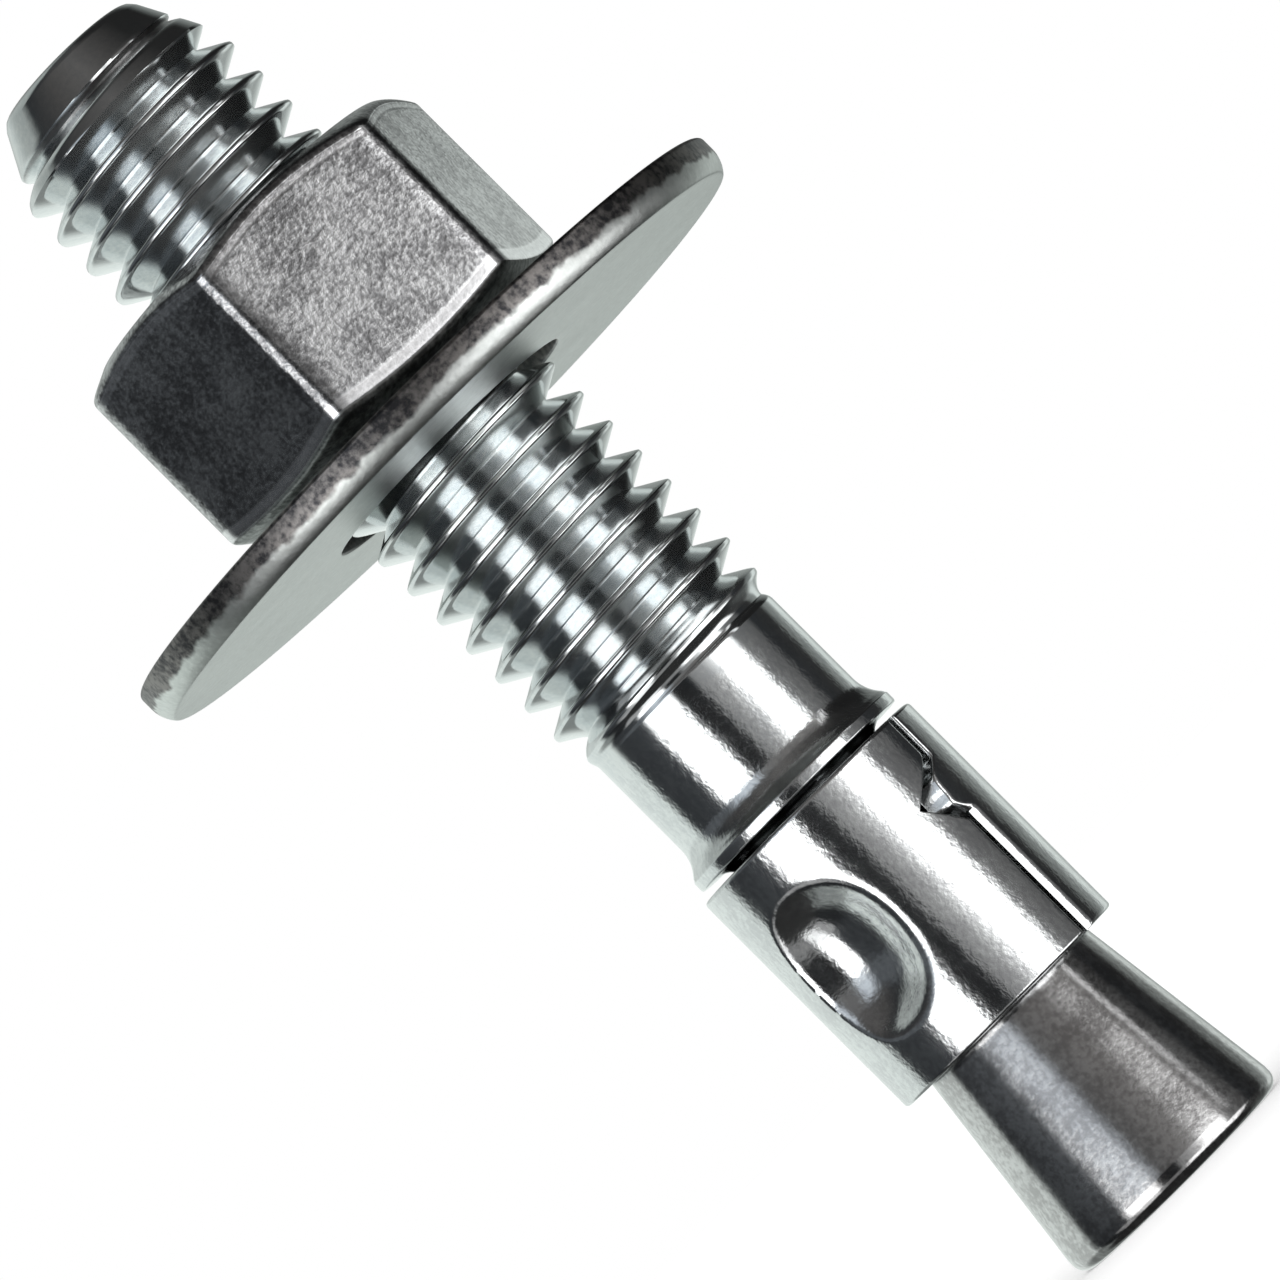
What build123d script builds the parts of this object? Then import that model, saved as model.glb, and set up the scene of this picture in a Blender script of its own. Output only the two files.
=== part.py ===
from build123d import *
import math
import os

# Wedge anchor: a threaded expansion stud with its clip, washer and nut. It stands on the flat end
# of its cone, nose up. +Z is the stud's axis and Z = 0 is the end face of the cone. Millimetres.

# ---- driving dimensions: rolled thread, right-hand, 13 turns to the inch ----
pitch = 25.4 / 13
flank_angle = 30
thread_major_d = 12.5
thread_crest_width = 0.25
run_out_turns = 2
blank_step = 0.02

# ---- driving dimensions: stud ----
stud_length = 74.4
nose_end_d = 8.3
nose_half_angle = 27.5
nose_chamfer = 0.4
plain_shank_length = 3.92
shank_d = 11.44
collar_flare = 1.5
collar_d = 12.8
collar_land = 0.65
collar_z = 25.35
neck_d = 8.7
shoulder_length = 2.4
cone_in_clip = 1.2
cone_clip_gap = 0.44
cone_end_d = 13.0
cone_land = 1.0
cone_chamfer = 0.7

# ---- driving dimensions: expansion clip, sheet steel wrapped round the neck ----
clip_d = 13.5
clip_wall = 1.15
clip_length = 13.5
clip_collar_gap = 0.45
slit_azimuth = -37
slit_width = 0.45
notch_depth = 2.5
notch_height = 3.7
notch_above_middle = 2.6
tab_depth = 1.2
tab_gap = 0.35
dimple_count = 3
dimple_spacing = 95
dimple_d = 8.0
dimple_wall = 0.95
dimple_neck_gap = 0.15

# ---- driving dimensions: nut and washer ----
nose_above_nut = 11.8
nut_height = 11.1
nut_across_flats = 19.05
nut_azimuth = -74
nut_face_d = 18.2
nut_chamfer_angle = 30
nut_mouth_clearance = 0.8
nut_thread_depth = 0.85
thread_flank_gap = 0.065
washer_d = 37.4
washer_thickness = 1.95
washer_edge = 0.45
washer_bore_clearance = 1.8
loose_gap = 0.9

# cutting shapes run past what they cut by this much
overcut = 1.0

# ---- heights that follow, from the cone up ----
clip_top_z = collar_z - clip_collar_gap
clip_z = clip_top_z - clip_length
clip_mid_z = clip_top_z - clip_length / 2
collar_top_z = collar_z + collar_land
shank_z = collar_top_z + collar_flare
thread_z = shank_z + plain_shank_length
first_crest_z = thread_z + pitch / 2
nut_z = stud_length - nose_above_nut - nut_height
washer_z = nut_z - loose_gap - washer_thickness

# ---- radii that follow ----
thread_r = thread_major_d / 2
nose_r = nose_end_d / 2
shank_r = shank_d / 2
collar_r = collar_d / 2
neck_r = neck_d / 2
clip_r = clip_d / 2
clip_bore_r = clip_r - clip_wall
nut_bore_r = thread_r - nut_thread_depth
nut_mouth_r = thread_r + nut_mouth_clearance / 2
nut_face_r = nut_face_d / 2
nut_corner_r = nut_across_flats / math.sqrt(3)
washer_bore_r = thread_r + washer_bore_clearance / 2

os.makedirs("parts", exist_ok=True)


def flank_profile(crest_r, crest_width):
    """One turn of a 60 degree thread as (radius, height) corners: the V root below a crest, then
    the two edges of the crest, or its one edge if it is sharp. Heights are from the crest's middle."""
    depth = (pitch - crest_width) / 2 / math.tan(math.radians(flank_angle))
    crest = [(crest_r, -crest_width / 2), (crest_r, crest_width / 2)] if crest_width else [(crest_r, 0)]
    return [(crest_r - depth, -pitch / 2), *crest]


def threaded_rod(profile, crest_z, turns, fade_turns=0, blank_r=0):
    """A solid right-hand threaded rod whose crest crosses the plane Y = 0 at crest_z, with that
    number of turns above it. Its lowest turn is a plain rod of blank_r, out of which the thread
    grows over fade_turns. Each corner of the profile runs up a helix, one edge a turn, and the
    faces are ruled between neighbouring helices."""

    def corner(number):
        turn, place = divmod(number, len(profile))
        radius, height = profile[place]
        if fade_turns:
            grown = min(max(turn / fade_turns, 0), 1)
            radius = blank_r + (radius - blank_r) * grown
        return radius, crest_z + turn * pitch + height

    def helix(number):
        start_r, z = corner(number)
        end_r, _ = corner(number + len(profile))
        taper = math.atan((end_r - start_r) / pitch)
        return Edge.make_helix(
            pitch / math.cos(taper), pitch, start_r, center=(0, 0, z), angle=math.degrees(taper)
        )

    lowest = -len(profile)
    highest = turns * len(profile)
    lines = [helix(number) for number in range(lowest, highest + 1)]
    faces = [Face.make_surface_from_curves(low, high) for low, high in zip(lines, lines[1:])]
    # each end is a spiral ramp out from the axis, and one upright step a pitch high
    for number, line in ((lowest, lines[0]), (highest, lines[-1])):
        foot = Vector(0, 0, corner(number)[1])
        head = foot + Vector(0, 0, pitch)
        step = [Vector(corner(i)[0], 0, corner(i)[1]) for i in range(number, number + len(profile) + 1)]
        faces.append(Face.make_surface_from_curves(Edge.make_line(foot, head), line))
        faces.append(Face(Wire.make_polygon([foot, *step, head], close=True)))
    return Solid(Shell(faces))


# ---- stud: nose, rolled thread, shank, collar, neck and cone, cold-formed in one piece ----
stud_profile = flank_profile(thread_r, thread_crest_width)
stud_turns = math.ceil((stud_length - first_crest_z) / pitch) + 1
clear_r = thread_r + overcut
nose_base_z = stud_length - (clear_r - nose_r) / math.tan(math.radians(nose_half_angle))
cone_r = cone_end_d / 2
cone_slope = (cone_r - clip_bore_r + cone_clip_gap) / (clip_z - cone_land)
cone_top_z = clip_z + cone_in_clip
cone_top_r = cone_r - (cone_top_z - cone_land) * cone_slope

with BuildPart() as stud:
    add(threaded_rod(stud_profile, first_crest_z, stud_turns, run_out_turns, shank_r - blank_step))
    # the tapered nose cuts back the first turns of the thread
    with BuildSketch(Plane.XZ) as nose_envelope:
        with BuildLine():
            Polyline(
                (0, 0), (clear_r, 0), (clear_r, nose_base_z), (nose_r, stud_length), (0, stud_length),
                close=True,
            )
        make_face()
        chamfer(nose_envelope.vertices().sort_by(Axis.Y)[-2:].sort_by(Axis.X)[-1], nose_chamfer)
    revolve(axis=Axis.Z, mode=Mode.INTERSECT)
    # the body below the thread
    with BuildSketch(Plane.XZ) as body_section:
        with BuildLine():
            Polyline(
                (shank_r, shank_z), (shank_r, thread_z + blank_step), (0, thread_z + blank_step), (0, 0),
                (cone_r, 0), (cone_r, cone_land), (cone_top_r, cone_top_z),
                (neck_r, cone_top_z + shoulder_length), (neck_r, collar_z), (collar_r, collar_z),
                (collar_r, collar_top_z),
            )
            TangentArc((shank_r, shank_z), (collar_r, collar_top_z), tangent=(0, -1))
        make_face()
        chamfer(body_section.vertices().sort_by(Axis.Y)[:2].sort_by(Axis.X)[-1], cone_chamfer)
    revolve(axis=Axis.Z)
stud.part.label = "stud"
export_step(stud.part, "parts/stud.step")

# ---- expansion clip: its ends meet in a slit, and three dimples press it on the neck ----
slit = slit_width / 2
notch_z = clip_mid_z + notch_above_middle
notch_half = notch_height / 2
notch_slope = notch_half / (notch_depth - slit)
tab_half = notch_half - tab_gap
tab_end_half = tab_half - notch_slope * (tab_depth + slit)
dimple_depth = clip_r - dimple_wall - dimple_neck_gap - neck_r
dimple_ball_r = (dimple_d**2 / 4 + dimple_depth**2) / (2 * dimple_depth)
dimple_centre_r = clip_r - dimple_depth + dimple_ball_r
first_dimple_azimuth = slit_azimuth + 180 - dimple_spacing * (dimple_count - 1) / 2

clip_middle = Plane.XY.offset(clip_mid_z)

with BuildPart(clip_middle) as clip:
    dimple_places = PolarLocations(
        dimple_centre_r, dimple_count, first_dimple_azimuth, dimple_spacing * dimple_count
    )
    # the backs of the dimples, cut to the clip's outside
    with dimple_places:
        Sphere(dimple_ball_r + dimple_wall)
    Cylinder(clip_r, clip_length, mode=Mode.INTERSECT)
    # the sleeve round them, and the bowls pressed into it
    with BuildSketch(clip_middle):
        Circle(clip_r)
        Circle(clip_bore_r, mode=Mode.SUBTRACT)
    extrude(amount=clip_length / 2, both=True)
    with dimple_places:
        Sphere(dimple_ball_r, mode=Mode.SUBTRACT)
    # one lip of the slit has a pointed notch, and the other has the tab that lies in it
    with BuildSketch(Plane.XZ.rotated((0, 0, slit_azimuth + 90))):
        with BuildLine():
            Polyline(
                (slit, clip_z - overcut),
                (slit, notch_z - tab_half),
                (-tab_depth, notch_z - tab_end_half),
                (-tab_depth, notch_z + tab_end_half),
                (slit, notch_z + tab_half),
                (slit, clip_top_z + overcut),
                (-slit, clip_top_z + overcut),
                (-slit, notch_z + notch_half),
                (-notch_depth, notch_z),
                (-slit, notch_z - notch_half),
                (-slit, clip_z - overcut),
                close=True,
            )
        make_face()
    extrude(amount=clip_d, mode=Mode.SUBTRACT)
clip.part.label = "expansion_clip"
export_step(clip.part, "parts/expansion_clip.step")

# ---- washer: a large flat ring with its outer edges broken, loose under a nut not yet tightened ----
with BuildPart() as washer:
    with BuildSketch(Plane.XY.offset(washer_z)):
        Circle(washer_d / 2)
        Circle(washer_bore_r, mode=Mode.SUBTRACT)
    extrude(amount=washer_thickness)
    chamfer(washer.edges().filter_by(GeomType.CIRCLE).group_by(SortBy.RADIUS)[-1], washer_edge)
washer.part.label = "washer"
export_step(washer.part, "parts/washer.step")

# ---- nut: hexagon with both ends turned to a cone, tapped for the stud's thread ----
corner_drop = (nut_corner_r - nut_face_r) * math.tan(math.radians(nut_chamfer_angle))
mouth_depth = nut_mouth_r - nut_bore_r
half_height = nut_height / 2
tap_crest_r = thread_r + (thread_crest_width / 2 + thread_flank_gap) / math.tan(math.radians(flank_angle))
tap_profile = flank_profile(tap_crest_r, 0)
tap_turns = math.ceil(nut_height / pitch) + 3
turns_below_nut = math.floor((nut_z - first_crest_z) / pitch) - 1

with BuildPart() as nut:
    with BuildSketch(Plane.XY.offset(nut_z)):
        RegularPolygon(nut_corner_r, 6, rotation=nut_azimuth + 30)
    extrude(amount=nut_height)
    with BuildSketch(Plane.XZ):
        with BuildLine():
            Polyline(
                (nut_bore_r, nut_z + mouth_depth), (nut_mouth_r, nut_z), (nut_face_r, nut_z),
                (nut_corner_r, nut_z + corner_drop), (nut_corner_r, nut_z + half_height),
                (nut_bore_r, nut_z + half_height),
                close=True,
            )
        make_face()
        mirror(about=Plane.XZ.offset(-nut_z - half_height))
    revolve(axis=Axis.Z, mode=Mode.INTERSECT)
    tap = threaded_rod(tap_profile, first_crest_z + turns_below_nut * pitch, tap_turns)
    add(tap, mode=Mode.SUBTRACT)
nut.part.label = "hex_nut"
export_step(nut.part, "parts/hex_nut.step")
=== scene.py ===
"""Looks of a zinc-plated wedge anchor: a threaded expansion stud, its clip, washer and nut.

The anchor stands on the flat end of its cone, nose up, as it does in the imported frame. Sizes are
in millimetres until a finished mesh is brought to metres.
"""

import math

import bmesh
import bpy
from mathutils import Matrix, Vector


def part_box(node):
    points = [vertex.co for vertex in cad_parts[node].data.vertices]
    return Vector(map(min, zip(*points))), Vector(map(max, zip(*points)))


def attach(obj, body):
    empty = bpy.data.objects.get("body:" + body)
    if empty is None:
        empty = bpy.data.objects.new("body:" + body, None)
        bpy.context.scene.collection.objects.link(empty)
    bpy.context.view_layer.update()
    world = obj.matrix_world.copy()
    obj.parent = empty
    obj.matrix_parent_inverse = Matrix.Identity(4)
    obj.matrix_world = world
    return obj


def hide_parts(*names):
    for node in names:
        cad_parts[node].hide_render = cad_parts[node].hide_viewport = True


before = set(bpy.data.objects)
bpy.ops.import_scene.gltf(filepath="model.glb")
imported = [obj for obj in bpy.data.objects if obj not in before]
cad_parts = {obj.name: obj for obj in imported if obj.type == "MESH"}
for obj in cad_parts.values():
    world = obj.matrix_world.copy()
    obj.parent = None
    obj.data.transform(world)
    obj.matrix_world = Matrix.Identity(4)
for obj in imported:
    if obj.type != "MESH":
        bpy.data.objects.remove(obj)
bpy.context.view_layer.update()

MM = 0.001


def heights(node):
    """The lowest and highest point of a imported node, in millimetres."""
    low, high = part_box(node)
    return low.z / MM, high.z / MM


# ---- sizes ----
_, STUD_TOP = heights("stud")
CLIP_LOW, CLIP_TOP = heights("expansion_clip")
WASHER_LOW, WASHER_TOP = heights("washer")
NUT_LOW, NUT_TOP = heights("hex_nut")

PITCH = 25.4 / 13
FLANK_SLOPE = 1 / math.tan(math.radians(30))
THREAD_PLAY = 0.065
THREAD_R = 6.25
THREAD_ROOT_R = 4.8
CREST_WIDTH = 0.25
CREST_ROUNDING = 0.15
ROOT_ROUNDING = 0.04
RUN_OUT_START = 0.25
RUN_OUT_TURNS = 1.0
THREAD_LOW = 31.42
FIRST_CREST = THREAD_LOW + PITCH / 2
NOSE_R = 4.15
NOSE_SLOPE = math.tan(math.radians(27.5))
NOSE_ROUNDING = 0.4
# the rounded edge of the nose's end: out from its radius, and down from its top
NOSE_EDGE = [(0.06, 0.22), (-0.06, 0.09), (-0.2, 0.02), (-0.34, 0)]

SHANK_R = 5.72
SHANK_LOW = 27.5
COLLAR_R = 6.4
COLLAR_LOW = 25.35
COLLAR_TOP = 26.0
COLLAR_EDGE = 0.12
NECK_R = 4.35
NECK_LOW = 15.0
NECK_FILLET = 1.15
CONE_TOP = 12.6
CONE_TOP_R = 5.01
CONE_R = 6.5
CONE_LAND = 1.0
CONE_ROUNDING = 0.7

CLIP_R = 6.75
CLIP_GIRTH = math.tau * CLIP_R
CLIP_WALL = 1.15
CLIP_EDGE = 0.2
LIP_BEVEL = 0.42
UPPER_LIP_BEVEL = 0.12
LIP_BEVEL_SLOPE = math.tan(math.radians(28))
LIP_REACH = 5.0
SLIT_AZIMUTH = math.radians(-37)
SLIT_HALF = 0.225
NOTCH_Z = (CLIP_LOW + CLIP_TOP) / 2 + 2.6
NOTCH_HALF = 1.85
NOTCH_DEPTH = 2.5
TAB_GAP = 0.35
TAB_DEPTH = 0.75
TAB_SHEAR = 0.45
SLIT_STEP_ABOVE = 0.4
SLIT_STEP_BELOW = 0.45
DIMPLE_Z = (CLIP_LOW + CLIP_TOP) / 2
DIMPLE_SECTOR = 1.0
DIMPLE_AZIMUTHS = [SLIT_AZIMUTH + math.radians(78.5 + 95.5 * i) for i in range(3)]
DIMPLE_WIDE_SIDE = 0.8
DIMPLE_STEEP_SIDE = 1.25
DIMPLE_FLOOR_R = 4.86
DIMPLE_BALL_R = 4.2
DIMPLE_FLANK = math.radians(32)
DIMPLE_LENGTH_R = 7.5
DIMPLE_END_RISE = 0.0028
DIMPLE_WALL = 0.4
DIMPLE_RIM = 1.0
DIMPLE_LOW_RIM = 0.45
DIMPLE_RIM_TURN = 0.4

WASHER_R = 18.7
WASHER_BORE_R = 7.15
WASHER_BORE_EDGE = 0.12
WASHER_EDGE = 0.22
WASHER_ROLL_R = 1.7
WASHER_ROLL_END = 40

NUT_APOTHEM = 9.525
NUT_AZIMUTH = math.radians(-74)
NUT_FIRST_CORNER = NUT_AZIMUTH + math.pi / 6
NUT_FACE_R = 9.25
NUT_FACE_ROUNDING = 0.9
NUT_SEAT_R = 8.6
NUT_SEAT_ROUNDING = 1.3
NUT_SEAT_SLOPE = 3.0
NUT_END_SLOPE = 2.0
NUT_CORNER_ROUNDING = 0.9
NUT_MOUTH_R = 6.65
NUT_BORE_R = 5.4
NUT_BORE_ROUNDING = 0.1
TAP_R = THREAD_R + (CREST_WIDTH / 2 + THREAD_PLAY) * FLANK_SLOPE

# ---- how fine the meshes are ----
STUD_COLUMNS = 144
STUD_ROWS_A_TURN = 24
NUT_COLUMNS = 192
NUT_ROWS_A_TURN = 20
WASHER_COLUMNS = 216
CLIP_STEP = 0.16
# distances from an edge of the clip's sheet at which its mesh has a line
CLIP_EDGE_LINES = [0, 0.03, 0.07, 0.12, 0.2, 0.28]
# the same for the nut, from its ends
NUT_END_LINES = [
    0.0, 0.004, 0.012, 0.025, 0.045, 0.07, 0.1, 0.14, 0.18, 0.23, 0.29, 0.36, 0.43, 0.5, 0.58, 0.66,
    0.74, 0.82, 0.9, 1.0, 1.1, 1.2, 1.32, 1.46, 1.64, 1.9, 2.3, 2.9, 3.7, 4.6,
]
# how strongly the lines crowd towards a thread's crests and roots, and towards the nut's corners
CREST_CROWDING = 0.72
CORNER_CROWDING = 0.85
# points nearer to each other than these become one
SEAM_WELD = 0.001
SHELL_WELD = 0.0015
SHORTEST_EDGE = 0.0001
SHARP_ANGLE = math.radians(32)


# ---- node trees ----
class Wire:
    """A node's output, so that a sum on it is written as a Python expression."""

    def __init__(self, graph, socket):
        self.graph = graph
        self.socket = socket

    def also(self, output):
        """Another output of the same node."""
        return Wire(self.graph, self.socket.node.outputs[output])

    def __add__(self, other):
        return self.graph.math("ADD", self, other)

    def __radd__(self, other):
        return self.graph.math("ADD", other, self)

    def __sub__(self, other):
        return self.graph.math("SUBTRACT", self, other)

    def __rsub__(self, other):
        return self.graph.math("SUBTRACT", other, self)

    def __mul__(self, other):
        return self.graph.math("MULTIPLY", self, other)

    def __rmul__(self, other):
        return self.graph.math("MULTIPLY", other, self)

    def __truediv__(self, other):
        return self.graph.math("DIVIDE", self, other)

    def __rtruediv__(self, other):
        return self.graph.math("DIVIDE", other, self)


class Graph:
    """A node tree that is filled in from Python."""

    def __init__(self, tree):
        self.tree = tree
        tree.nodes.clear()

    def add(self, kind, settings=None, inputs=None, output=0):
        """Adds a node: its settings first, then the values or links of its sockets."""
        node = self.tree.nodes.new(kind)
        for name, value in (settings or {}).items():
            if name == "stops":
                ramp = node.color_ramp
                while len(ramp.elements) < len(value):
                    ramp.elements.new(1)
                for stop, (place, colour) in zip(ramp.elements, value):
                    stop.position = place
                    stop.color = (*colour, 1)
            else:
                setattr(node, name, value)
        for key, value in (inputs or {}).items():
            if isinstance(value, Wire):
                self.tree.links.new(value.socket, node.inputs[key])
            else:
                node.inputs[key].default_value = value
        return Wire(self, node.outputs[output]) if node.outputs else None

    def math(self, operation, *values):
        return self.add("ShaderNodeMath", {"operation": operation}, dict(enumerate(values)))

    def step(self, value, low, high):
        """0 below low, 1 above high, and smooth between them."""
        return self.add(
            "ShaderNodeMapRange", {"interpolation_type": "SMOOTHSTEP"}, {0: value, 1: low, 2: high}
        )

    def blend(self, share, first, second):
        """A colour between two."""
        return self.add(
            "ShaderNodeMix", {"data_type": "RGBA"}, {0: share, 6: first, 7: second}, output=2
        )


def new_material(name):
    """A material, and the graph of its empty node tree."""
    material = bpy.data.materials.new(name)
    material.use_nodes = True
    return material, Graph(material.node_tree)


def helical_tree(name, sizes, angle_of, radius_of):
    """A geometry tree for a threaded surface of revolution. Its grid's rows run up with the thread
    and crowd together at crests and roots, and are cut off level at both ends."""
    tree = bpy.data.node_groups.new(name, "GeometryNodeTree")
    tree.interface.new_socket("Surface", in_out="OUTPUT", socket_type="NodeSocketGeometry")
    tree.interface.new_socket("Finish", in_out="INPUT", socket_type="NodeSocketMaterial")
    for label, value in sizes.items():
        kind = "NodeSocketInt" if isinstance(value, int) else "NodeSocketFloat"
        tree.interface.new_socket(label, in_out="INPUT", socket_type=kind).default_value = value
    graph = Graph(tree)
    given = graph.add("NodeGroupInput")
    size = {label: given.also(label) for label in sizes}

    rows = size["Turns"] * size["Rows A Turn"]
    grid = graph.add(
        "GeometryNodeMeshGrid", {},
        {"Size X": 1.0, "Size Y": 1.0, "Vertices X": size["Columns"] + 1, "Vertices Y": rows + 1},
    )
    place = graph.add("ShaderNodeSeparateXYZ", {}, {0: graph.add("GeometryNodeInputPosition")})
    angle = angle_of(graph, (place + 0.5) * math.tau)
    row = graph.math("ROUND", (place.also("Y") + 0.5) * rows)
    turn = size["Lowest Turn"] + row / size["Rows A Turn"]
    turn = turn - graph.math("SINE", turn * (2 * math.tau)) * (CREST_CROWDING / (2 * math.tau))
    climb = size["First Crest"] + (turn + angle / math.tau) * size["Pitch"]
    height = graph.math("MINIMUM", graph.math("MAXIMUM", climb, size["Low End"]), size["High End"])
    from_crest = graph.math("ABSOLUTE", turn - graph.math("ROUND", turn)) * size["Pitch"]
    radius = radius_of(graph, size, height, from_crest)
    point = graph.add(
        "ShaderNodeCombineXYZ", {},
        {0: radius * graph.math("COSINE", angle), 1: radius * graph.math("SINE", angle), 2: height},
    )
    surface = graph.add("GeometryNodeSetPosition", {}, {"Geometry": grid, "Position": point})
    surface = graph.add("GeometryNodeMergeByDistance", {}, {"Geometry": surface, "Distance": SEAM_WELD})
    surface = graph.add("GeometryNodeRealizeInstances", {}, {0: surface})
    surface = graph.add("GeometryNodeSetMaterial", {}, {"Geometry": surface, "Material": given})
    graph.add("NodeGroupOutput", {}, {0: surface})
    return tree


def grown(tree, values):
    """The plain mesh that a geometry tree makes from named values."""
    holder = bpy.data.objects.new(tree.name, bpy.data.meshes.new(tree.name))
    bpy.context.scene.collection.objects.link(holder)
    rule = holder.modifiers.new("rule", "NODES")
    rule.node_group = tree
    for item in tree.interface.items_tree:
        if item.in_out == "INPUT" and item.name in values:
            rule[item.identifier] = values[item.name]
    evaluated = holder.evaluated_get(bpy.context.evaluated_depsgraph_get())
    mesh = bpy.data.meshes.new_from_object(evaluated)
    holder.modifiers.remove(rule)
    bpy.data.objects.remove(holder)
    return mesh


# ---- shells ----
def arc(centre, radius, start, end, steps):
    """Points (radius from the axis, height) along an arc, its angles in degrees from straight out."""
    turns = [math.radians(start + (end - start) * i / steps) for i in range(steps + 1)]
    return [(centre[0] + radius * math.cos(a), centre[1] + radius * math.sin(a)) for a in turns]


def smooth_min(a, b, width):
    """The lesser of two, rounded off where they meet."""
    share = max(width - abs(a - b), 0) / width
    return min(a, b) - share**3 * width / 6


def ease(share):
    """From 0 to 1, slow at both ends."""
    return share**2 * (3 - 2 * share)


def even_angles(count):
    return [math.tau * i / count for i in range(count)]


def add_rings(shell, angles, rows, closed=False):
    """Joins rings of points round the axis. A row is (radius, height), and its radius may be a list
    with one for each angle."""
    rings = []
    for radius, height in rows:
        radii = radius if hasattr(radius, "__len__") else [radius] * len(angles)
        rings.append([
            shell.verts.new((r * math.cos(a), r * math.sin(a), height)) for r, a in zip(radii, angles)
        ])
    if closed:
        rings.append(rings[0])
    for low, high in zip(rings, rings[1:]):
        for i in range(len(angles)):
            shell.faces.new((low[i - 1], low[i], high[i], high[i - 1]))


def finish_piece(name, shell, material, body, node):
    """Makes a closed shell into a piece, in metres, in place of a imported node."""
    bmesh.ops.remove_doubles(shell, verts=shell.verts, dist=SHELL_WELD)
    bmesh.ops.dissolve_degenerate(shell, edges=shell.edges, dist=SHORTEST_EDGE)
    bmesh.ops.recalc_face_normals(shell, faces=shell.faces)
    open_edges = sum(not edge.is_manifold for edge in shell.edges)
    mesh = bpy.data.meshes.new(name)
    shell.to_mesh(mesh)
    shell.free()
    mesh.transform(Matrix.Scale(MM, 4))
    mesh.materials.clear()
    mesh.materials.append(material)
    for polygon in mesh.polygons:
        polygon.use_smooth = True
    mesh.set_sharp_from_angle(angle=SHARP_ANGLE)
    piece = bpy.data.objects.new(name, mesh)
    bpy.context.scene.collection.objects.link(piece)
    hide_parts(node)
    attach(piece, body)
    mesh.calc_loop_triangles()
    print(name, len(mesh.loop_triangles), "triangles", open_edges, "open edges")


# ---- finishes: noise scales are in patches a metre, heights in millimetres ----
CLOUD_SCALE = 420
CLOUD_DULLING = 0.12
WAVE_SCALE = 330
WAVE_HEIGHT = 0.012
SPECKLE_RANGE = (0.39, 0.61)
BLOTCH_SCALE = 700
BLOTCH_HEIGHT = 1.2
# a zone's look, its own finish or painted light: its bright and its dim colour, its roughness, and the
# share of the relief it lacks
# the sheared rim's own colour, also used in the bore as painted shade
SHEARED_STEEL_AND_BORE_SHADE = ((0.31, 0.295, 0.285), (0.06, 0.06, 0.065), 0.4, 0)
# the nut's edges painted brighter: a painted highlight
EDGE_HIGHLIGHT_ZINC = ((0.92, 0.92, 0.93), (0.75, 0.75, 0.76), 0.2, 0.7)
ROLLED_ZINC = ((0.80, 0.82, 0.82), (0.72, 0.75, 0.76), 0.12, 0.85)
# a darker grey for the groove under the nose: painted shade
GROOVE_SHADE_ZINC = ((0.48, 0.48, 0.48), (0.38, 0.38, 0.38), 0.3, 0.3)
CONE_ZINC = ((0.68, 0.68, 0.68), (0.45, 0.445, 0.445), 0.14, 0.7)


def zinc(name, light, dark, roughness, grain_size, grain_height, zones=()):
    """Bright zinc plating over formed steel. Each zone is a part of the piece with a colour, roughness
    and relief of its own, some of them painted shade or highlight:
    it is given the graph and the place, and gives a mask and that look."""
    material, graph = new_material(name)
    place = graph.add("ShaderNodeTexCoord", output="Object")
    cloud = graph.add(
        "ShaderNodeTexNoise", {},
        {"Vector": place, "Scale": CLOUD_SCALE, "Detail": 4, "Roughness": 0.6},
    )
    grain = graph.add(
        "ShaderNodeTexNoise", {},
        {"Vector": place, "Scale": 1 / (grain_size * MM), "Detail": 3, "Roughness": 0.55},
    )
    waves = graph.add("ShaderNodeTexNoise", {}, {"Vector": place, "Scale": WAVE_SCALE, "Detail": 1})
    speckle = graph.step(cloud * 0.5 + grain * 0.5, *SPECKLE_RANGE)
    colour = graph.blend(speckle, (*dark, 1), (*light, 1))
    dullness = roughness + (cloud - 0.5) * CLOUD_DULLING
    relief = grain * grain_height + waves * WAVE_HEIGHT
    for zone in zones:
        mask, bright, dim, dull, smoothing = zone(graph, place)
        colour = graph.blend(mask, colour, graph.blend(speckle, (*dim, 1), (*bright, 1)))
        dullness = dullness + (dull - roughness) * mask
        relief = relief * (1 - mask * smoothing)
    bump = graph.add("ShaderNodeBump", {}, {"Strength": 1.0, "Distance": MM, "Height": relief})
    shader = graph.add(
        "ShaderNodeBsdfPrincipled", {},
        {"Base Color": colour, "Metallic": 1.0, "Roughness": dullness, "Normal": bump},
    )
    graph.add("ShaderNodeOutputMaterial", {}, {"Surface": shader})
    return material


def from_axis(graph, place):
    """The distance from the anchor's axis, and the height, both in millimetres."""
    parts = graph.add("ShaderNodeSeparateXYZ", {}, {0: place})
    flat = graph.math("SQRT", parts * parts + parts.also("Y") * parts.also("Y"))
    return flat * (1 / MM), parts.also("Z") * (1 / MM)


def sheared_rim_and_bore_shade(graph, place):
    """The washer's sheared rim, brown, blotchy and rough, and its bore, darkened as painted shade. The
    rolled part of the rim, below the blotches, stays bright."""
    away, height = from_axis(graph, place)
    blotch = graph.add("ShaderNodeTexNoise", {}, {"Vector": place, "Scale": BLOTCH_SCALE, "Detail": 3})
    rim = graph.step(away, WASHER_R - 0.25, WASHER_R - 0.12)
    ragged = height + (blotch - 0.5) * BLOTCH_HEIGHT
    sheared = graph.step(ragged, WASHER_LOW + 0.7, WASHER_LOW + 1.0)
    # the bore is darkened as painted shade in the gap round the stud
    bore = 1 - graph.step(away, WASHER_BORE_R + 0.02, WASHER_BORE_R + 0.1)
    mask = graph.math("MAXIMUM", rim * sheared, bore * 0.8)
    return mask, *SHEARED_STEEL_AND_BORE_SHADE


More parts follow.
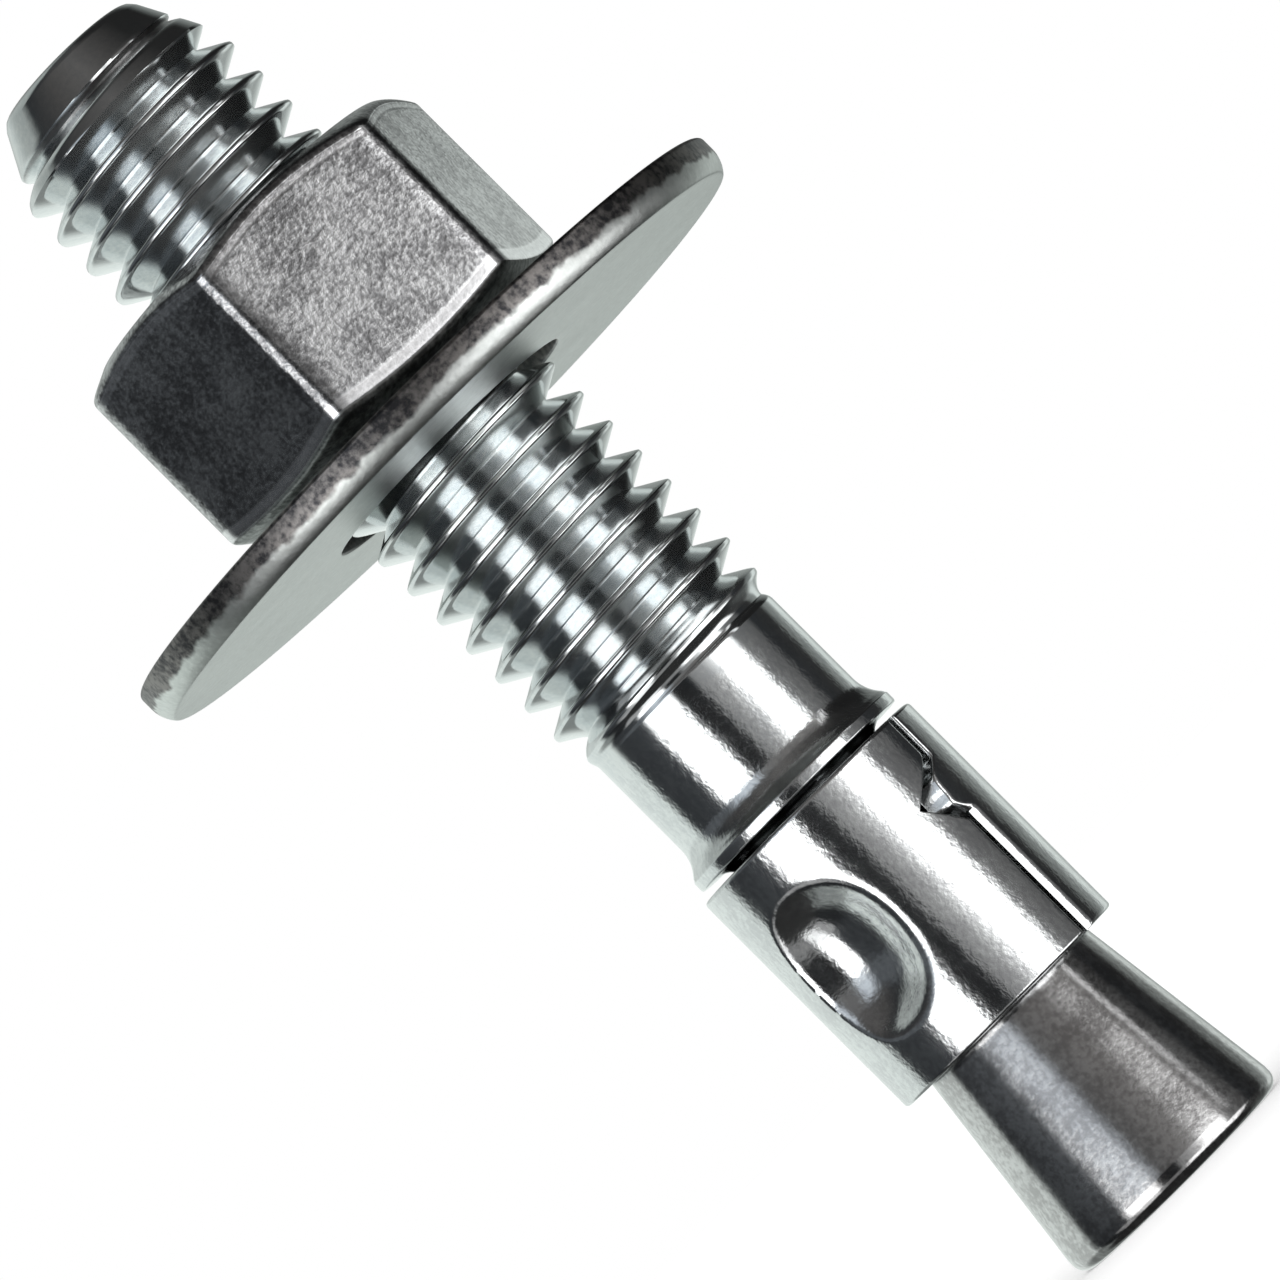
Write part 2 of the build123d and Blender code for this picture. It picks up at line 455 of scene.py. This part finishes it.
def edge_highlight(graph, place):
    """The edges between the nut's flats and its chamfers, painted brighter as a painted highlight. They
    are bands at some depth below the cones that round off its ends."""
    away, height = from_axis(graph, place)
    from_seat = NUT_SEAT_R - away + (height - NUT_LOW) * NUT_SEAT_SLOPE
    from_face = NUT_FACE_R - away + (NUT_TOP - height) * NUT_END_SLOPE
    seat_edge = graph.step(from_seat, 0.5, 0.8) * (1 - graph.step(from_seat, 2.3, 2.9))
    face_edge = graph.step(from_face, 0.6, 0.8) * (1 - graph.step(from_face, 1.3, 1.7))
    # the bands along both edges get the brighter colour of a painted highlight
    mask = graph.math("MAXIMUM", seat_edge, face_edge * 0.6)
    return mask, *EDGE_HIGHLIGHT_ZINC


def rolled_thread(graph, place):
    """The thread, which the dies leave smoother than the shank."""
    _, height = from_axis(graph, place)
    mask = graph.step(height, THREAD_LOW, THREAD_LOW + 1)
    return mask, *ROLLED_ZINC


def shaded_first_groove(graph, place):
    """The groove that the nose cuts short, painted darker as painted shade."""
    away, height = from_axis(graph, place)
    below_nose = NOSE_R + (STUD_TOP - height) * NOSE_SLOPE - away
    mask = graph.step(below_nose, 0.05, 0.15) * graph.step(height, STUD_TOP - 2.7, STUD_TOP - 2.5)
    return mask, *GROOVE_SHADE_ZINC


def dull_cone(graph, place):
    """The cone, a darker grey than the rest of the stud."""
    _, height = from_axis(graph, place)
    mask = 1 - graph.step(height, CONE_TOP - 1, CONE_TOP)
    return mask, *CONE_ZINC


# the stud's first groove under the nose is painted darker as painted shade
STUD_ZINC = zinc(
    "stud_zinc_finish", light=(0.82, 0.84, 0.84), dark=(0.70, 0.72, 0.73), roughness=0.14,
    grain_size=0.3, grain_height=0.015, zones=(rolled_thread, shaded_first_groove, dull_cone),
)
CLIP_ZINC = zinc(
    "clip_zinc_finish", light=(0.82, 0.84, 0.84), dark=(0.68, 0.69, 0.70), roughness=0.15,
    grain_size=0.3, grain_height=0.015,
)
# The nut's colours are darker than the other pieces' as painted shade, for the dimmer light on its
# faces.
NUT_ZINC = zinc(
    "nut_zinc_finish", light=(0.64, 0.645, 0.65), dark=(0.25, 0.25, 0.255), roughness=0.18,
    grain_size=0.28, grain_height=0.014, zones=(edge_highlight,),
)
# the washer's bore is painted darker as painted shade
WASHER_ZINC = zinc(
    "washer_zinc_finish", light=(0.82, 0.85, 0.83), dark=(0.70, 0.73, 0.71), roughness=0.38,
    grain_size=0.35, grain_height=0.015, zones=(sheared_rim_and_bore_shade,),
)


# ---- stud ----
def stud_radius(graph, size, height, from_crest):
    """The stud's thread, with its run-out at the foot and the nose's taper at the top."""
    flank = size["Crest Radius"] - (from_crest - size["Crest Width"] / 2) * FLANK_SLOPE
    crest = graph.math("SMOOTH_MIN", flank, size["Crest Radius"], size["Crest Rounding"])
    thread = graph.math("SMOOTH_MAX", crest, size["Root Radius"], size["Root Rounding"])
    grown_share = graph.add(
        "ShaderNodeMapRange", {},
        {
            0: height, 1: size["First Crest"] + size["Pitch"] * size["Run Out Start"],
            2: size["First Crest"] + size["Pitch"] * (size["Run Out Start"] + size["Run Out Turns"]),
        },
    )
    thread = size["Blank Radius"] + (thread - size["Blank Radius"]) * grown_share
    nose = size["Nose Radius"] + (STUD_TOP - height) * NOSE_SLOPE
    return graph.math("SMOOTH_MIN", thread, nose, size["Crest Rounding"])


# the grids of both threads run on past their ends, where helical_tree cuts them off level
nose_low = STUD_TOP - NOSE_ROUNDING
stud_sizes = {
    "Columns": STUD_COLUMNS, "Rows A Turn": STUD_ROWS_A_TURN, "Lowest Turn": -2,
    "Turns": math.ceil((STUD_TOP - FIRST_CREST) / PITCH) + 2,
    "Pitch": PITCH, "First Crest": FIRST_CREST, "Low End": THREAD_LOW, "High End": nose_low,
    "Crest Radius": THREAD_R, "Crest Width": CREST_WIDTH, "Crest Rounding": CREST_ROUNDING,
    "Root Radius": THREAD_ROOT_R, "Root Rounding": ROOT_ROUNDING,
    "Run Out Start": RUN_OUT_START, "Run Out Turns": RUN_OUT_TURNS, "Blank Radius": SHANK_R,
    "Nose Radius": NOSE_R,
}
stud_tree = helical_tree("stud_thread", stud_sizes, lambda graph, angle: angle, stud_radius)
stud_shell = bmesh.new()
stud_shell.from_mesh(grown(stud_tree, {**stud_sizes, "Finish": STUD_ZINC}))

nose_low_r = NOSE_R + NOSE_ROUNDING * NOSE_SLOPE
add_rings(
    stud_shell, even_angles(STUD_COLUMNS),
    [
        (nose_low_r, nose_low), *[(NOSE_R + out, STUD_TOP - down) for out, down in NOSE_EDGE],
        (NOSE_R - 0.7, STUD_TOP), (0, STUD_TOP),
    ],
)
flare = SHANK_LOW - COLLAR_TOP
flare_r = (flare**2 + (COLLAR_R - SHANK_R) ** 2) / 2 / (COLLAR_R - SHANK_R)
flare_end = math.degrees(math.asin(flare / flare_r))
cone_slope = (CONE_R - CONE_TOP_R) / (CONE_TOP - CONE_LAND)
body_rows = [
    (SHANK_R, THREAD_LOW),
    *[(SHANK_R, THREAD_LOW - (THREAD_LOW - SHANK_LOW) * i / 8) for i in range(1, 8)],
    *arc((SHANK_R + flare_r, SHANK_LOW), flare_r, 180, 180 + flare_end, 10)[:-1],
    *arc((COLLAR_R - COLLAR_EDGE, COLLAR_TOP - COLLAR_EDGE), COLLAR_EDGE, 60, 0, 4),
    *arc((COLLAR_R - COLLAR_EDGE, COLLAR_LOW + COLLAR_EDGE), COLLAR_EDGE, 0, -90, 5),
    *arc((NECK_R + NECK_FILLET, COLLAR_LOW - NECK_FILLET), NECK_FILLET, 90, 180, 8),
    (NECK_R, (COLLAR_LOW + NECK_LOW) / 2),
    # the shoulder, blended into the neck above it and the cone below it
    (NECK_R, NECK_LOW + 0.4), (NECK_R + 0.05, NECK_LOW - 0.3),
    (CONE_TOP_R - 0.12, CONE_TOP + 0.4), (CONE_TOP_R, CONE_TOP - 0.1),
    *[
        (CONE_TOP_R + cone_slope * (CONE_TOP - z), z)
        for z in [CONE_TOP - (CONE_TOP - CONE_LAND - 0.04) * i / 24 for i in range(1, 25)]
    ],
    (CONE_R - 0.001, CONE_LAND),
    *arc((CONE_R - CONE_ROUNDING, CONE_ROUNDING), CONE_ROUNDING, 6, -90, 10),
    (CONE_R - CONE_ROUNDING - 0.5, 0), (0, 0),
]
add_rings(stud_shell, even_angles(STUD_COLUMNS), body_rows)
finish_piece("stud_piece", stud_shell, STUD_ZINC, "stud", "stud")


# ---- nut ----
def corner_angle(graph, angle):
    """Angles that crowd together at the six corners of the nut."""
    to_corner = (angle - NUT_FIRST_CORNER) * 6
    start = math.sin(-NUT_FIRST_CORNER * 6)
    return angle - (graph.math("SINE", to_corner) - start) * (CORNER_CROWDING / 6)


def nut_inside(graph, size, height, from_crest):
    """The tapped bore, opened to a cone at both ends."""
    groove = size["Tap Radius"] - from_crest * FLANK_SLOPE
    wall = graph.math("SMOOTH_MAX", groove, size["Bore Radius"], NUT_BORE_ROUNDING)
    low_mouth = size["Mouth Radius"] - (height - size["Low End"])
    high_mouth = size["Mouth Radius"] - (size["High End"] - height)
    mouth = graph.math("MAXIMUM", low_mouth, high_mouth)
    return graph.math("MAXIMUM", wall, mouth)


turns_below = math.floor((NUT_LOW - FIRST_CREST) / PITCH) - 2
nut_sizes = {
    "Columns": NUT_COLUMNS, "Rows A Turn": NUT_ROWS_A_TURN, "Lowest Turn": turns_below,
    "Turns": math.ceil((NUT_TOP - NUT_LOW) / PITCH) + 4,
    "Pitch": PITCH, "First Crest": FIRST_CREST, "Low End": NUT_LOW, "High End": NUT_TOP,
    "Tap Radius": TAP_R, "Bore Radius": NUT_BORE_R, "Mouth Radius": NUT_MOUTH_R,
}
nut_tree = helical_tree("nut_thread", nut_sizes, corner_angle, nut_inside)
nut_shell = bmesh.new()
nut_shell.from_mesh(grown(nut_tree, {**nut_sizes, "Finish": NUT_ZINC}))

nut_angles = []
for even in even_angles(NUT_COLUMNS):
    crowd = math.sin((even - NUT_FIRST_CORNER) * 6) - math.sin(-NUT_FIRST_CORNER * 6)
    nut_angles.append(even - crowd * CORNER_CROWDING / 6)


def nut_outside(angle, z):
    """The hexagon, rounded off by a steep cone at each end."""
    turned = (angle - NUT_AZIMUTH + math.pi / 6) % (math.pi / 3) - math.pi / 6
    flat = NUT_APOTHEM / math.cos(turned)
    next_flat = NUT_APOTHEM / math.cos(math.pi / 3 - abs(turned))
    hexagon = smooth_min(flat, next_flat, NUT_CORNER_ROUNDING)
    face = NUT_FACE_R + (NUT_TOP - z) * NUT_END_SLOPE
    seat = NUT_SEAT_R + (z - NUT_LOW) * NUT_SEAT_SLOPE
    return smooth_min(smooth_min(hexagon, face, NUT_FACE_ROUNDING), seat, NUT_SEAT_ROUNDING)


nut_levels = [NUT_LOW + h for h in NUT_END_LINES] + [NUT_TOP - h for h in reversed(NUT_END_LINES)]
# on each end, a ring near either edge keeps the face between them flat
nut_rows = [
    (NUT_MOUTH_R, NUT_LOW), (NUT_MOUTH_R + 0.1, NUT_LOW), (NUT_SEAT_R - 0.12, NUT_LOW),
    *[([nut_outside(a, z) for a in nut_angles], z) for z in nut_levels],
    (NUT_FACE_R - 0.12, NUT_TOP), (NUT_MOUTH_R + 0.1, NUT_TOP), (NUT_MOUTH_R, NUT_TOP),
]
add_rings(nut_shell, nut_angles, nut_rows)
finish_piece("nut_piece", nut_shell, NUT_ZINC, "nut", "hex_nut")


# ---- washer ----
roll_end = math.radians(WASHER_ROLL_END)
tip_r = WASHER_R - (WASHER_ROLL_R - WASHER_EDGE) * (1 - math.cos(roll_end)) - WASHER_EDGE
roll_z = WASHER_LOW + WASHER_EDGE + (WASHER_ROLL_R - WASHER_EDGE) * math.sin(roll_end)
bore_edge_r = WASHER_BORE_R + WASHER_BORE_EDGE
washer_shell = bmesh.new()
add_rings(
    washer_shell, even_angles(WASHER_COLUMNS),
    [
        *arc((bore_edge_r, WASHER_LOW + WASHER_BORE_EDGE), WASHER_BORE_EDGE, 180, 270, 4),
        (WASHER_BORE_R + 0.6, WASHER_LOW), (tip_r - 0.4, WASHER_LOW),
        *arc((tip_r, WASHER_LOW + WASHER_EDGE), WASHER_EDGE, -90, -WASHER_ROLL_END, 5)[:-1],
        *arc((WASHER_R - WASHER_ROLL_R, roll_z), WASHER_ROLL_R, -WASHER_ROLL_END, 0, 10),
        *arc((WASHER_R - WASHER_EDGE, WASHER_TOP - WASHER_EDGE), WASHER_EDGE, 0, 90, 6),
        (WASHER_R - WASHER_EDGE - 0.4, WASHER_TOP), (WASHER_BORE_R + 0.6, WASHER_TOP),
        *arc((bore_edge_r, WASHER_TOP - WASHER_BORE_EDGE), WASHER_BORE_EDGE, 90, 180, 4),
    ],
    closed=True,
)
finish_piece("washer_piece", washer_shell, WASHER_ZINC, "washer", "washer")


# ---- expansion clip ----
notch_slope = NOTCH_HALF / (NOTCH_DEPTH - SLIT_HALF)
tab_half = NOTCH_HALF - TAB_GAP
tab_end_half = tab_half - notch_slope * (TAB_DEPTH + SLIT_HALF)


def slit_step(z):
    """The slit lies a little further round above the notch than at it, and a little less below it."""
    share = min(max((z - NOTCH_Z) / NOTCH_HALF, -1), 1)
    step = SLIT_STEP_ABOVE if share > 0 else SLIT_STEP_BELOW
    return math.copysign(step * ease(abs(share)), share)


def tab_lip(z):
    """Where the lip with the tab ends, along the tangent from the middle of the slit."""
    share = (tab_half - abs(z - NOTCH_Z)) / (tab_half - tab_end_half)
    return SLIT_HALF + slit_step(z) - (TAB_DEPTH + SLIT_HALF) * min(max(share, 0), 1)


def notch_lip(z):
    """Where the lip with the pointed notch ends."""
    share = 1 - abs(z - NOTCH_Z) / NOTCH_HALF
    return slit_step(z) - SLIT_HALF - (NOTCH_DEPTH - SLIT_HALF) * max(share, 0)


def pressed(angle, z, plain, floor):
    """The radius of the sleeve there, with its three dimples. Round the girth a dimple is a ball's
    section with straight flanks, steeper on one side, and along the sleeve it is longer and steepens
    towards its ends."""
    radius = plain
    flank_away = DIMPLE_BALL_R * math.sin(DIMPLE_FLANK)
    up = z - DIMPLE_Z
    along = up**2 / (2 * DIMPLE_LENGTH_R) + DIMPLE_END_RISE * up**4
    for azimuth in DIMPLE_AZIMUTHS:
        off = (angle - azimuth + math.pi) % math.tau - math.pi
        if abs(off) < DIMPLE_SECTOR:
            depth = floor
            side = DIMPLE_WIDE_SIDE if off > 0 else DIMPLE_STEEP_SIDE
            # the distance from the middle and the depth hang on each other, and settle in a few rounds
            for _ in range(4):
                away = abs(depth * math.tan(off)) * side
                on_ball = min(away, flank_away)
                across = DIMPLE_BALL_R - math.sqrt(DIMPLE_BALL_R**2 - on_ball**2)
                depth = floor + along + across + (away - on_ball) * math.tan(DIMPLE_FLANK)
            share = min(max(off / DIMPLE_RIM_TURN + 0.5, 0), 1)
            rim = DIMPLE_LOW_RIM + (DIMPLE_RIM - DIMPLE_LOW_RIM) * ease(share)
            radius = smooth_min(radius, depth / math.cos(off), rim)
    return radius


def spaced(low, high):
    """Values from low to high, close together near both ends."""
    near = CLIP_EDGE_LINES
    count = round((high - low - 2 * near[-1]) / CLIP_STEP)
    middle = [low + near[-1] + (high - low - 2 * near[-1]) * i / count for i in range(1, count)]
    return [low + n for n in near] + middle + [high - n for n in reversed(near)]


def clip_point(place, z, plain, floor, sign):
    """A point of the sleeve's outside (sign 1) or inside (sign -1). Place is along its girth, from the
    tab's lip round to the notch's, and near a lip the points move round with it. The tab's end is
    sheared aslant and reaches further on the inside, and the outside of the straight lip beside it is
    bevelled, more below the notch than above it."""
    reach = SLIT_HALF + slit_step(z) - tab_lip(z)
    shear = 0 if sign > 0 else TAB_SHEAR * reach / (SLIT_HALF + TAB_DEPTH)
    lip_a = math.asin((tab_lip(z) - shear) / plain)
    lip_b = math.asin(notch_lip(z) / plain)
    near_a = max(1 - place / LIP_REACH, 0)
    near_b = max(1 - (CLIP_GIRTH - place) / LIP_REACH, 0)
    angle = SLIT_AZIMUTH + (place / CLIP_R + lip_a * near_a + lip_b * near_b)
    inset = min(place, CLIP_GIRTH - place, z - CLIP_LOW, CLIP_TOP - z)
    drop = 0
    if inset < CLIP_EDGE:
        drop = CLIP_EDGE - math.sqrt(CLIP_EDGE**2 - (CLIP_EDGE - inset) ** 2)
    if sign > 0:
        bevel = LIP_BEVEL if z < NOTCH_Z else UPPER_LIP_BEVEL
        drop = max(drop, (bevel - reach - place) * LIP_BEVEL_SLOPE)
    radius = pressed(angle, z, plain, floor) - sign * drop
    return (radius * math.cos(angle), radius * math.sin(angle), z)


clip_levels = spaced(CLIP_LOW, CLIP_TOP)
clip_places = spaced(0, CLIP_GIRTH)
clip_shell = bmesh.new()
sides = []
for plain, floor, sign in (
    (CLIP_R, DIMPLE_FLOOR_R, 1), (CLIP_R - CLIP_WALL, DIMPLE_FLOOR_R - DIMPLE_WALL, -1)
):
    side = [
        [clip_shell.verts.new(clip_point(place, z, plain, floor, sign)) for place in clip_places]
        for z in clip_levels
    ]
    for low, high in zip(side, side[1:]):
        for i in range(len(low) - 1):
            clip_shell.faces.new((low[i], low[i + 1], high[i + 1], high[i]))
    sides.append(side)
outside, inside = sides
rims = [
    (outside[0], inside[0]), (outside[-1], inside[-1]),
    ([row[0] for row in outside], [row[0] for row in inside]),
    ([row[-1] for row in outside], [row[-1] for row in inside]),
]
for outer, inner in rims:
    for i in range(len(outer) - 1):
        clip_shell.faces.new((outer[i], outer[i + 1], inner[i + 1], inner[i]))
finish_piece("clip_piece", clip_shell, CLIP_ZINC, "clip", "expansion_clip")


# ---- studio ----
WORLD_LIGHT = 0.5
FLOOR_GLOW = 0.35


def seen_background(graph):
    """1 for a ray from the camera or one that a surface mirrors or lets through, 0 for soft light."""
    path = graph.add("ShaderNodeLightPath", output="Is Camera Ray")
    return graph.math("MINIMUM", path + path.also("Is Glossy Ray") + path.also("Is Transmission Ray"), 1)


world = bpy.data.worlds.new("studio")
bpy.context.scene.world = world
world.use_nodes = True
graph = Graph(world.node_tree)
soft = graph.add("ShaderNodeBackground", {}, {"Color": (1, 1, 1, 1), "Strength": WORLD_LIGHT})
white = graph.add("ShaderNodeBackground", {}, {"Color": (1, 1, 1, 1), "Strength": 1.0})
mixed = graph.add("ShaderNodeMixShader", {}, {0: seen_background(graph), 1: soft, 2: white})
graph.add("ShaderNodeOutputWorld", {}, {"Surface": mixed})

floor_finish, graph = new_material("floor_finish")
matt = graph.add("ShaderNodeBsdfDiffuse", {}, {"Color": (0.85, 0.85, 0.85, 1)})
glow = graph.add("ShaderNodeEmission", {}, {"Color": (1, 1, 1, 1), "Strength": FLOOR_GLOW})
brighter = graph.add("ShaderNodeAddShader", {}, {0: matt, 1: glow})
mixed = graph.add("ShaderNodeMixShader", {}, {0: seen_background(graph), 1: matt, 2: brighter})
graph.add("ShaderNodeOutputMaterial", {}, {"Surface": mixed})
bpy.ops.mesh.primitive_circle_add(vertices=96, radius=4, fill_type="NGON")
floor = bpy.context.object
floor.name = "floor"
floor.data.materials.append(floor_finish)

# A tent round the anchor that glows in bands of light, dark and tint, which only its metal mirrors:
# painted reflections from a part that is no lamp. Each ring of it is a list of (bearing from the front,
# brightness, tint), and bearings grow towards +X.
PLAIN = (1, 1, 1)
GREEN = (0.93, 1, 0.965)
BLUE = (0.9, 0.97, 1.05)
BROWN = (1.03, 0.99, 0.97)
OVERHEAD = [
    (-180, 0.35, GREEN), (-150, 0.5, GREEN), (-112, 0.4, GREEN), (-98, 0.03, BLUE), (-50, 0.07, BROWN),
    (10, 0.115, BROWN), (60, 0.06, BROWN), (100, 0.02, PLAIN), (140, 0.02, PLAIN), (158, 0.06, GREEN),
    (180, 0.35, GREEN),
]
LOW_OVERHEAD = [
    (-180, 0.4, GREEN), (-160, 0.7, GREEN), (-112, 0.75, GREEN), (-101, 0.1, BLUE), (-60, 0.11, BLUE),
    (-48, 0.4, BLUE), (-36, 0.75, BLUE), (-20, 0.65, BLUE), (-8, 0.17, PLAIN), (20, 0.17, BROWN),
    (70, 0.21, BROWN), (72, 1.1, PLAIN), (76, 1.1, PLAIN), (78, 0.015, PLAIN), (140, 0.015, PLAIN),
    (152, 0.15, GREEN), (180, 0.4, GREEN),
]
AROUND = [
    (-180, 1.0, GREEN), (-165, 0.9, GREEN), (-109, 0.85, GREEN), (-101, 0.038, BLUE), (-58, 0.055, BLUE),
    (-51, 2.4, PLAIN), (-21, 2.4, PLAIN), (-16, 0.02, PLAIN), (4, 0.02, BLUE), (9, 0.28, PLAIN),
    (22, 0.4, PLAIN), (26, 0.6, PLAIN), (33.5, 1.05, PLAIN), (37, 2.4, PLAIN), (58, 2.4, PLAIN),
    (66, 0.2, PLAIN), (90, 0.12, PLAIN), (97, 0.03, BLUE), (121, 0.03, PLAIN), (127, 0.2, GREEN),
    (140, 0.3, GREEN), (147, 0.85, GREEN), (156, 0.8, GREEN), (165, 0.35, GREEN), (180, 1.0, GREEN),
]
BELOW = [
    (-180, 0.25, GREEN), (-112, 0.3, GREEN), (-100, 0.02, BLUE), (-80, 0.02, BLUE), (-74, 0.4, PLAIN),
    (-54, 0.4, PLAIN), (-47, 1.2, PLAIN), (-26, 1.2, PLAIN), (-18, 0.25, PLAIN), (10, 0.25, PLAIN),
    (18, 1.8, PLAIN), (88, 1.8, PLAIN), (98, 0.05, PLAIN), (121, 0.05, PLAIN), (152, 0.12, GREEN),
    (180, 0.25, GREEN),
]
# the tent's dark bottom, a painted reflection of the shade on the floor under the anchor
UNDERFOOT = 0.03
ZENITH = 0.06
# the rings from the lowest up, each with the two elevations between which it takes over
TENT_RINGS = [
    (-46, -38, BELOW), (-26, -14, AROUND), (8.5, 11.5, LOW_OVERHEAD), (24, 38, OVERHEAD),
]
ZENITH_RISE = (73, 81)
TENT_SCALE = 3.0


def even_glow(level):
    """The colour of the tent's glow where it is as bright all round, a painted reflection."""
    return (level / TENT_SCALE,) * 3 + (1,)


def ring(graph, bearing, stops):
    """The colour of a ring of the tent at a bearing."""
    return graph.add(
        "ShaderNodeValToRGB",
        {"stops": [
            ((degrees + 180) / 360, [level * part / TENT_SCALE for part in tint])
            for degrees, level, tint in stops
        ]},
        {0: bearing / math.tau + 0.5},
    )


# the tent's glow: painted reflections, seen only in the metal
tent_reflection_glow, graph = new_material("tent_reflection_glow")
place = graph.add("ShaderNodeSeparateXYZ", {}, {0: graph.add("ShaderNodeTexCoord", output="Object")})
bearing = graph.math("ARCTAN2", place, 0 - place.also("Y"))
rise = graph.math("ARCSINE", place.also("Z")) * math.degrees(1)
mirrored_glow = even_glow(UNDERFOOT)
for low, high, stops in TENT_RINGS:
    mirrored_glow = graph.blend(graph.step(rise, low, high), mirrored_glow, ring(graph, bearing, stops))
mirrored_glow = graph.blend(graph.step(rise, *ZENITH_RISE), mirrored_glow, even_glow(ZENITH))
glow = graph.add("ShaderNodeEmission", {}, {"Color": mirrored_glow, "Strength": TENT_SCALE})
graph.add("ShaderNodeOutputMaterial", {}, {"Surface": glow})
bpy.ops.mesh.primitive_uv_sphere_add(segments=180, ring_count=90, radius=1)
tent = bpy.context.object
tent.name = "tent"
tent.data.materials.append(tent_reflection_glow)
for ray in ("camera", "diffuse", "transmission", "volume_scatter", "shadow"):
    setattr(tent, "visible_" + ray, False)
floor.visible_glossy = False

lamp = bpy.data.lights.new("top_light", "SUN")
lamp.energy = 1.2
lamp.angle = math.radians(70)
top_light = bpy.data.objects.new("top_light", lamp)
top_light.rotation_euler = (math.radians(12), math.radians(-10), 0)
top_light.visible_glossy = False
bpy.context.scene.collection.objects.link(top_light)

# ---- camera: a little below the middle, looking up, and rolled so that the anchor lies aslant ----
lens = bpy.data.cameras.new("camera")
lens.sensor_width = 36
lens.lens = 239.029
camera = bpy.data.objects.new("camera", lens)
eye = Vector((-0.000094, -0.4, 0.0155))
aim = Vector((-0.000094, 0, 0.03588))
forward = (aim - eye).normalized()
across = Vector((1, 0, 0))
upright = across.cross(forward)
right = (across - upright).normalized()
up = (across + upright).normalized()
camera.matrix_world = Matrix.Translation(eye) @ Matrix((right, up, -forward)).transposed().to_4x4()
bpy.context.scene.collection.objects.link(camera)
bpy.context.scene.camera = camera

bpy.context.scene.view_settings.view_transform = "Standard"
